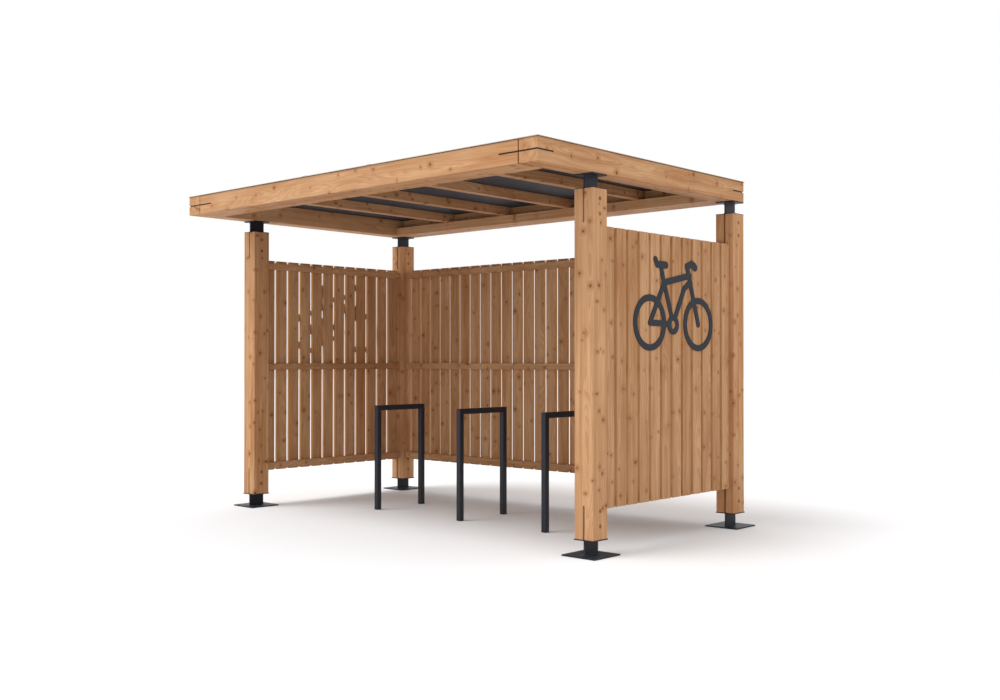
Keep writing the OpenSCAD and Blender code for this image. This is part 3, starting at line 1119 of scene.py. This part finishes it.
class SHELTER_OT_signs(bpy.types.Operator):
    """Cut steel cycle signs on the outside of both end walls"""

    bl_idname = "shelter.signs"
    bl_label = "Cycle signs"

    def execute(self, context):
        look = context.scene.shelter_signs
        steel = context.scene.shelter_steel
        finish = coat_finish("Sign coat", steel.sign, bare=steel.sign_back_painted_light)
        low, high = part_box("post_front_right")
        rear = Vector(((low.y + high.y) / 2 + look.rear_axle, look.axle_height))
        front = rear + Vector((look.wheelbase, 0.0))
        radius = look.wheel / 2

        def spot(ahead, up):
            return rear + Vector((ahead, up))

        crank = spot(0.262, -0.008)
        bars = [
            (spot(0.154, 0.260), spot(0.455, 0.320), 1.05),
            (spot(0.118, 0.376), spot(0.158, 0.262), 0.95),
            (spot(0.158, 0.262), spot(0.246, 0.040), 0.95),
            (spot(0.154, 0.250), rear, 1.0),
            (rear, spot(0.212, -0.004), 1.0),
            (spot(0.284, 0.040), spot(0.392, 0.232), 1.0),
            (spot(0.392, 0.232), spot(0.446, 0.266), 1.0),
            (spot(0.424, 0.380), spot(0.468, 0.260), 1.0),
            (spot(0.468, 0.260), front, 1.0),
            (spot(0.062, 0.404), spot(0.082, 0.374), 1.05),
            (spot(0.082, 0.374), spot(0.180, 0.374), 1.15),
            (spot(0.424, 0.380), spot(0.480, 0.398), 1.1),
            (spot(0.480, 0.398), spot(0.508, 0.388), 1.25),
            (spot(0.508, 0.388), spot(0.522, 0.378), 1.25),
        ]
        plates = [ring_of(centre, radius, look.rim, look.plate) for centre in (rear, front)]
        plates.append(ring_of(crank, CRANK_RADIUS, CRANK_RIM, look.plate, sides=40))
        for start, stop, share in bars:
            plates.append(plate_of(bar_outline(start, stop, look.bar * share), look.plate))
        sign = joined_plates(plates)
        ease_edges(sign, SIGN_EDGE, least_angle=40.0, segments=1)
        # Faces against the wall take the back colour: a bare back with painted light
        mark_bare(sign, lambda face: face.normal.x < -SIDE_FACING)
        mirrored = sign.copy()
        bmesh.ops.scale(mirrored, vec=(-1, 1, 1), verts=mirrored.verts)
        bmesh.ops.reverse_faces(mirrored, faces=mirrored.faces)
        bmesh.ops.translate(sign, vec=(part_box("right_wall_boards")[1].x, 0, 0), verts=sign.verts)
        bmesh.ops.translate(mirrored, vec=(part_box("left_wall_boards")[0].x, 0, 0), verts=mirrored.verts)
        place_piece("sign_right", sign, finish)
        place_piece("sign_left", mirrored, finish)
        return {"FINISHED"}


class SHELTER_OT_stage(bpy.types.Operator):
    """Pale floor, soft light and the camera"""

    bl_idname = "shelter.stage"
    bl_label = "Stage"

    def execute(self, context):
        look = context.scene.shelter_stage
        scene = context.scene
        scene.view_settings.view_transform = "Standard"
        self.lay_floor(scene, look)
        self.light(scene, look)
        self.aim_camera(scene, look)
        return {"FINISHED"}

    def lay_floor(self, scene, look):
        mesh = bmesh.new()
        bmesh.ops.create_circle(mesh, cap_ends=True, segments=96, radius=FLOOR_RADIUS)
        bmesh.ops.translate(mesh, vec=(0, 0, -FLOOR_DROP), verts=mesh.verts)
        data = bpy.data.meshes.new("floor")
        mesh.to_mesh(data)
        mesh.free()
        material, graph = start_material("Studio floor")
        matt = graph.add("ShaderNodeBsdfDiffuse")
        colour = graph.mix(graph.seen(), (*look.bounce, 1.0), (*look.floor, 1.0))
        graph.feed(matt.inputs["Color"], colour)
        output = graph.add("ShaderNodeOutputMaterial")
        graph.feed(output.inputs["Surface"], matt.outputs[0])
        data.materials.append(material)
        floor = bpy.data.objects.new("floor", data)
        scene.collection.objects.link(floor)

    def light(self, scene, look):
        world = bpy.data.worlds.new("Studio")
        world.use_nodes = True
        world.node_tree.nodes.clear()
        graph = Graph(world.node_tree)
        back = graph.add("ShaderNodeBackground")
        strength = graph.line(graph.seen(), 0.0, 1.0, look.dome, 1.0)
        graph.fill(back, {"Color": (1.0, 1.0, 1.0, 1.0), "Strength": strength})
        output = graph.add("ShaderNodeOutputWorld")
        graph.feed(output.inputs["Surface"], back.outputs[0])
        scene.world = world

        key = bpy.data.lights.new("Key", "SUN")
        key.energy = look.key
        key.angle = KEY_SPREAD
        lamp = bpy.data.objects.new("Key", key)
        scene.collection.objects.link(lamp)
        lamp.rotation_euler = KEY_TRAVEL.to_track_quat("-Z", "Y").to_euler()
        lamp.location = -KEY_TRAVEL * 3

    def aim_camera(self, scene, look):
        lens = bpy.data.cameras.new("Camera")
        lens.lens = look.lens
        lens.sensor_width = 36.0
        lens.sensor_fit = "HORIZONTAL"
        lens.clip_end = 300.0
        camera = bpy.data.objects.new("Camera", lens)
        scene.collection.objects.link(camera)
        camera.location = CAMERA_PLACE
        camera.rotation_euler = CAMERA_TURN
        scene.camera = camera


LOOKS = {
    "shelter_timber": ShelterTimber,
    "shelter_steel": ShelterSteel,
    "shelter_fixings": ShelterFixings,
    "shelter_signs": ShelterSigns,
    "shelter_stage": ShelterStage,
}

STEPS = (
    SHELTER_OT_timber_frame,
    SHELTER_OT_wall_boards,
    SHELTER_OT_wall_rails,
    SHELTER_OT_steelwork,
    SHELTER_OT_roof_sheet,
    SHELTER_OT_roof_covers,
    SHELTER_OT_stands,
    SHELTER_OT_dowel_plugs,
    SHELTER_OT_screws,
    SHELTER_OT_weld_beads,
    SHELTER_OT_signs,
    SHELTER_OT_stage,
)


class SHELTER_PT_panel(bpy.types.Panel):
    """Sizes, colours and steps of the shelter"""

    bl_idname = "SHELTER_PT_panel"
    bl_label = "Cycle shelter"
    bl_space_type = "VIEW_3D"
    bl_region_type = "UI"
    bl_category = "Shelter"

    def draw(self, context):
        for label, store in LOOKS.items():
            box = self.layout.box()
            box.label(text=store.__doc__)
            values = getattr(context.scene, label)
            for key in store.__annotations__:
                box.prop(values, key)
        for step in STEPS:
            self.layout.operator(step.bl_idname)


def register():
    for label, store in LOOKS.items():
        bpy.utils.register_class(store)
        setattr(bpy.types.Scene, label, bpy.props.PointerProperty(type=store))
    for step in STEPS:
        bpy.utils.register_class(step)
    bpy.utils.register_class(SHELTER_PT_panel)


def unregister():
    bpy.utils.unregister_class(SHELTER_PT_panel)
    for step in reversed(STEPS):
        bpy.utils.unregister_class(step)
    for label, store in LOOKS.items():
        delattr(bpy.types.Scene, label)
        bpy.utils.unregister_class(store)


def main():
    register()
    bpy.ops.shelter.timber_frame()
    bpy.ops.shelter.wall_boards()
    bpy.ops.shelter.wall_rails()
    bpy.ops.shelter.steelwork()
    bpy.ops.shelter.roof_sheet()
    bpy.ops.shelter.roof_covers()
    bpy.ops.shelter.stands()
    bpy.ops.shelter.dowel_plugs()
    bpy.ops.shelter.screws()
    bpy.ops.shelter.weld_beads()
    bpy.ops.shelter.signs()
    bpy.ops.shelter.stage()


if __name__ == "__main__":
    main()
